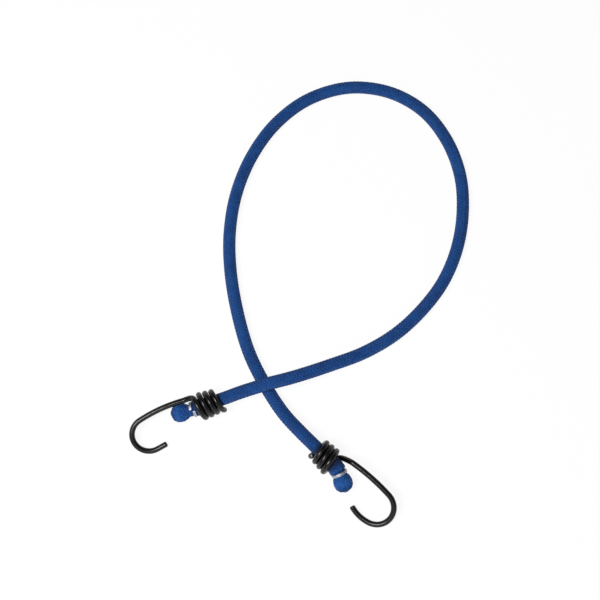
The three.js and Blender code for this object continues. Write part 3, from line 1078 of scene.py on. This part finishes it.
def coil_points(end):
    """The tapered coil in the end's own axes, from the cut end of the wire to its wide mouth."""
    turns = np.linspace(0, COIL_TURNS - end["lead_out"] / 360, COIL_POINTS)
    stray = CUT_SPREAD * np.clip(1 - turns / CUT_TURNS, 0, None) ** 2
    radius = COIL_NARROW + (COIL_WIDE - COIL_NARROW) * turns / COIL_TURNS + stray
    angle = math.pi + 2 * math.pi * turns
    aside = radius * np.cos(angle)
    along = (turns - COIL_TURNS) * COIL_PITCH - stray + end["coil_slant"] * aside
    return np.stack([along, aside, radius * np.sin(angle)], 1)


def hook_line(end):
    """The whole wire in world axes."""
    coil = coil_points(end)
    leaving = coil[-1] - coil[-2]
    leaving /= np.linalg.norm(leaving)
    shank = shank_bend(end)
    start = shank.points(2)[0]
    pulled = (coil[-1] + leaving * COIL_PULL, start - shank.ahead * SHANK_PULL)
    lead_out = bezier(coil[-1], *pulled, start, LEAD_OUT_POINTS)
    bend = shank.then(end["bend_radius"], math.radians(end["bend_angle"]))
    tip_bow = math.radians(end["tip_bow"])
    tip = bend.then(end["tip_leg"] / tip_bow, tip_bow)
    legs = [lead_out, shank.points(SHANK_POINTS), bend.points(BEND_POINTS), tip.points(TIP_POINTS)]
    local = np.vstack([coil, *(leg[1:] for leg in legs)])
    axes = end_axes(end)
    return Line(axes["mouth"] + local @ np.stack([axes["u"], axes["v"], axes["w"]]))


hook_lines = {key: hook_line(end) for key, end in ENDS.items()}
for key, wire_line in hook_lines.items():
    print(f"wire of hook {key}: {wire_line.lengths[-1] * MM:.0f} mm")

# %% Wire swept along its line

WIRE_SIDES = 20


def wire_tree():
    flow, size, path = new_tree("wire_on_path", [("Sides", "Int"), ("Coat", "Material")])
    section = ring(flow, size["Sides"], 1.0)
    skin = smooth_sides(flow, swept(flow, path, section, Scale=attribute(flow, "girth")))
    return end_tree(flow, dressed(flow, skin, size["Coat"]))


wire = wire_tree()
CUT_STEPS = 6
DIP_COAT = 0.0001
COIL_COAT = 0.00004
COAT_EASE = 0.006


def dip_coat(stops, coil_length):
    """The dip's thickness, a little more on the coil, where it gathers between the turns."""
    into = np.clip((stops - CUT_ROUND) / COAT_EASE, 0, 1)
    left = np.clip((coil_length - stops) / COAT_EASE, 0, 1)
    return DIP_COAT + COIL_COAT * np.minimum(into, left)


def wire_path(name, wire_line, coil_length, cut_bare):
    """Stops along the wire, close together at both cut ends, where the coat rounds over."""
    whole = wire_line.lengths[-1]
    turn = np.linspace(0, math.pi / 2, CUT_STEPS)
    rounding = CUT_ROUND * (1 - np.cos(turn))
    shrink = CUT_ROUND * (1 - np.sin(turn))
    body = np.linspace(CUT_ROUND, whole - CUT_ROUND, round(whole / WIRE_STEP))[1:-1]
    stops = np.concatenate([rounding, body, whole - rounding[::-1]])
    girth = WIRE_RADIUS - np.concatenate([shrink, np.zeros(len(body)), shrink[::-1]])
    girth += dip_coat(stops, coil_length)
    bare = np.zeros(len(stops))
    bare[:CUT_STEPS - 1] = cut_bare
    bare[-1] = 1
    return path_mesh(name, wire_line.at(stops), girth=girth, bare=bare)


hooks = {}
for key, end in ENDS.items():
    coil_length = Line(coil_points(end)).lengths[-1]
    path = wire_path("wire_" + key, hook_lines[key], coil_length, end["cut_bare"])
    hooks[key] = grow("wire_hook_" + key, wire, path, {"Sides": WIRE_SIDES, "Coat": coat})

# %% [markdown]
# ## Clips
#
# A clip is a strip of plated metal closed round the cord with pliers until its ends almost meet.
# A tube with a slot cut in it would look machined, so a box section is bent along an open circle
# instead. The pliers leave the ends pressed in and a little out of line with each other, and a bevel
# takes the sharpness off the edges.

# %% Crimped bands

CLIP_THICKNESS = 0.0009
CLIP_OPENING = 0.001
CLIP_STEPS = 56
SECTION_POINTS = 4
CLIP_SIDES = 24
CLIP_BEVEL = 0.00022
BEVEL_STEPS = 3
CLIP_INNER = (NECK_RADIUS * CORD_CORNER + FIT / 2) / math.cos(math.pi / CLIP_SIDES)
END_PINCH = 0.0002
END_ZONE = 0.35
END_SKEW = 0.0009
END_NARROWING = 0.12


def crimped_band(name, centre, across, upright, ahead, turn):
    """A strip of metal bent round the cord, with its ends pressed in and out of line."""
    middle = CLIP_INNER + CLIP_THICKNESS / 2
    gap = CLIP_OPENING / (2 * middle)
    points, faces, spread = [], [], []
    for step in range(CLIP_STEPS + 1):
        share = step / CLIP_STEPS
        angle = between(gap, 2 * math.pi - gap, share)
        near_end = max(0.0, 1 - min(angle, 2 * math.pi - angle) / END_ZONE)
        angle += turn
        out = across * math.cos(angle) + upright * math.sin(angle)
        half = CLIP_WIDTH / 2 * (1 - END_NARROWING * near_end)
        skew = END_SKEW * (1 - 2 * share) ** 3
        for radius in (CLIP_INNER, CLIP_INNER + CLIP_THICKNESS):
            for way in (-1, 1):
                place = centre + out * (radius - END_PINCH * near_end**2)
                points.append(place + ahead * (half * way + skew))
                spread.append((way, share))
    for step in range(CLIP_STEPS):
        a = SECTION_POINTS * step
        b = a + SECTION_POINTS
        faces += [(a, b, b + 1, a + 1), (a + 2, a + 3, b + 3, b + 2)]
        faces += [(a, a + 2, b + 2, b), (a + 1, b + 1, b + 3, a + 3)]
    last = SECTION_POINTS * CLIP_STEPS
    faces += [(0, 1, 3, 2), (last, last + 2, last + 3, last + 1)]
    band = built(name, points, faces, plate)
    uv = band.data.uv_layers.new(name="UVMap")
    for corner in band.data.loops:
        uv.data[corner.index].uv = spread[corner.vertex_index]
    bevel = band.modifiers.new("rounded_edges", "BEVEL")
    bevel.width = CLIP_BEVEL
    bevel.segments = BEVEL_STEPS
    bevel.limit_method = "ANGLE"
    finished = plain_mesh(band)
    band.modifiers.clear()
    band.data = finished
    finished.shade_smooth()
    return band


clips = {}
for key, end in ENDS.items():
    marks = runs[key]
    spot = marks["mouth"] + math.copysign(end["clip_reach"], marks["tip"] - marks["mouth"])
    ahead, across, upright = (axis[0] for axis in line.axes(np.array([spot])))
    turn = math.radians(end["clip_turn"])
    clips[key] = crimped_band("crimp_clip_" + key, line.spot(spot), across, upright, ahead, turn)
print(f"each clip: {2 * CLIP_INNER * MM:.1f} mm across inside")

# %% [markdown]
# ## What moves with what
#
# Pulling a hook stretches the run of cord next to it, and turning it twists the end. The halves of
# the cord are kept where they lie, while hook, clip and bulb ride together on the turning end.

# %% Riding on the ends

SHEATH_NODES = {key: ("sheath_loop", "sheath_lead_" + key) for key in ENDS}
THREAD_NODES = [node for node in frame["nodes"] if node.startswith("rubber_thread")]
JOINTS = {joint["name"]: joint for joint in frame["joints"]}

for key in ENDS:
    pull = np.array(JOINTS["stretch_" + key]["axis"])
    for piece in (cords[key], cores[key]):
        "lead_" + key
        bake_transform(piece)
    for piece in (ends[key], tips[key], core_ends[key], hooks[key], clips[key]):
        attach(piece, "end_" + key)
    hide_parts(*SHEATH_NODES[key])
    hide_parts("sheath_end_" + key)
    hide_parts(*THREAD_NODES)
    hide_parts("hook_" + key)
    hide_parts("clip_" + key)
    length = abs(cord_stops[key][-1] - cord_stops[key][0])
    print(f"half {key} of the cord: {length * MM:.0f} mm")

# %% [markdown]
# ## Floor and light
#
# The cord lies on plain white, lit softly from the near left, with a wide faint lamp in front that
# fills the shadows. A real white table under such light photographs grey, so the floor shows the
# camera, and what reflects it, a mix of its own white and its shaded surface. It keeps a faint shadow
# and lights the cord from below as a table does. Far out its rim curves up, so that a low view meets
# white too, and not the edge of the world.

# %% White table

FLOOR_REACH = 3
FLOOR_DROP = 0.0003
SWEEP_RADIUS = 1.2
SWEEP_TURN = math.radians(85)
SWEEP_STEPS = 12
SWEEP_SIDES = 64
WHITE = (1, 1, 1, 1)
FLOOR_WHITE = (0.9, 0.9, 0.9, 1)
SHADOW_SHARE = 0.1
TABLE_GLOW = 1.02


def floor_finish():
    material = bpy.data.materials.new("white_table")
    material.use_nodes = True
    tree = material.node_tree
    tree.nodes.clear()
    flow = Flow(tree)
    path = flow.node("ShaderNodeLightPath", {}, "Is Camera Ray")
    seen = (path + path.also("Is Glossy Ray") + path.also("Is Transmission Ray")).held(0, 1)
    lit = flow.node("ShaderNodeBsdfDiffuse", {"Color": FLOOR_WHITE})
    white = flow.node("ShaderNodeEmission", {"Color": WHITE, "Strength": TABLE_GLOW})
    shown = flow.node("ShaderNodeMixShader", {0: 1 - SHADOW_SHARE, 1: lit, 2: white})
    both = flow.node("ShaderNodeMixShader", {0: seen, 1: lit, 2: shown})
    flow.node("ShaderNodeOutputMaterial", {"Surface": both})
    return material


def swept_table():
    """A round white table whose far edge curves up, so that no side shows a horizon."""
    points, faces = [], [tuple(range(SWEEP_SIDES))]
    for step in range(SWEEP_STEPS + 1):
        turn = SWEEP_TURN * step / SWEEP_STEPS
        reach = FLOOR_REACH + SWEEP_RADIUS * math.sin(turn)
        height = SWEEP_RADIUS * (1 - math.cos(turn)) - FLOOR_DROP
        for k in range(SWEEP_SIDES):
            angle = 2 * math.pi * k / SWEEP_SIDES
            points.append((reach * math.cos(angle), reach * math.sin(angle), height))
    for step in range(SWEEP_STEPS):
        faces += band_faces(step * SWEEP_SIDES, SWEEP_SIDES)
    return built("table", points, faces, floor_finish())


floor = swept_table()
print("faces of the table:", len(floor.data.polygons))

# %% Soft light from the near left, a wide faint one from the front, and a pale room

KEY_PLACE = Vector((-0.489, -0.33, 1.158))
KEY_SIZE = 0.52
KEY_POWER = 14
FILL_PLACE = Vector((0.15, -1.35, 0.9))
FILL_SIZE = 1.6
FILL_POWER = 4.5
ROOM_LIGHT = 0.13


def soft_lamp(name, place, size, power):
    """A round area lamp that looks at the middle of the cord."""
    data = bpy.data.lights.new(name, "AREA")
    data.shape = "DISK"
    data.size = size
    data.energy = power
    lamp = link(bpy.data.objects.new(name, data))
    lamp.location = LOOK_AT + place
    lamp.rotation_euler = (-place).to_track_quat("-Z", "Y").to_euler()


soft_lamp("soft_key", KEY_PLACE, KEY_SIZE, KEY_POWER)
soft_lamp("wide_fill", FILL_PLACE, FILL_SIZE, FILL_POWER)

room = bpy.data.worlds.new("pale_room")
room.use_nodes = True
room.node_tree.nodes["Background"].inputs["Color"].default_value = WHITE
room.node_tree.nodes["Background"].inputs["Strength"].default_value = ROOM_LIGHT
bpy.context.scene.world = room
bpy.context.scene.view_settings.view_transform = "Standard"
print("lamps:", KEY_POWER, "and", FILL_POWER, "W")
